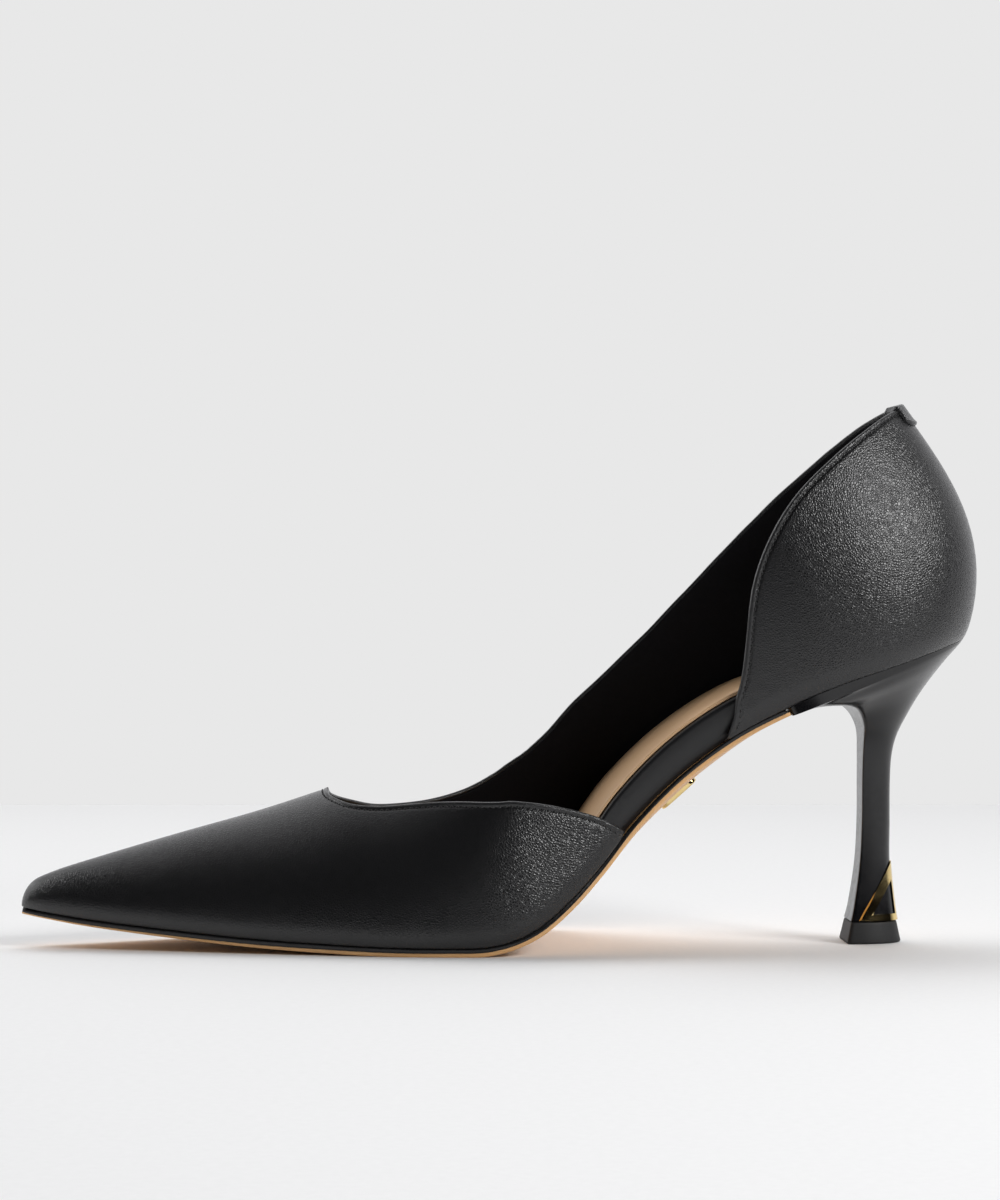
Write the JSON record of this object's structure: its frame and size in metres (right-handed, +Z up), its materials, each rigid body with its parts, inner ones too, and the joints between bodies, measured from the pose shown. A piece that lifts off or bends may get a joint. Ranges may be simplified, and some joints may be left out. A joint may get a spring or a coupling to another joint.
{
  "type": "pointed toe pump",
  "caption": "Pointed toe pump with a slim high heel, its inner side cut away at the arch, in black leather with a tan sole and gold trim.",
  "frame": {"origin": "under the middle of the bounding box, on the floor", "axes": "+X from the toe tip to the heel, -Y the inner side with the cut-out, +Z up"},
  "size_m": [0.2494, 0.0754, 0.1418],
  "materials": {
    "leather": "fine grained, satin",
    "wrap": "smooth, semi gloss",
    "sock": "smooth, matt",
    "tan_sole": "smooth, satin",
    "lacquer": "satin",
    "gold": "polished",
    "rubber": "matt"
  },
  "bodies": {
    "root": {"outsole": "tan_sole", "insole_board": "wrap", "sock": "sock", "upper": "leather", "heel_tab": "leather", "heel": "lacquer", "heel_trim": "gold", "top_piece": "rubber", "sole_plate": "gold"}
  },
  "joints": []
}
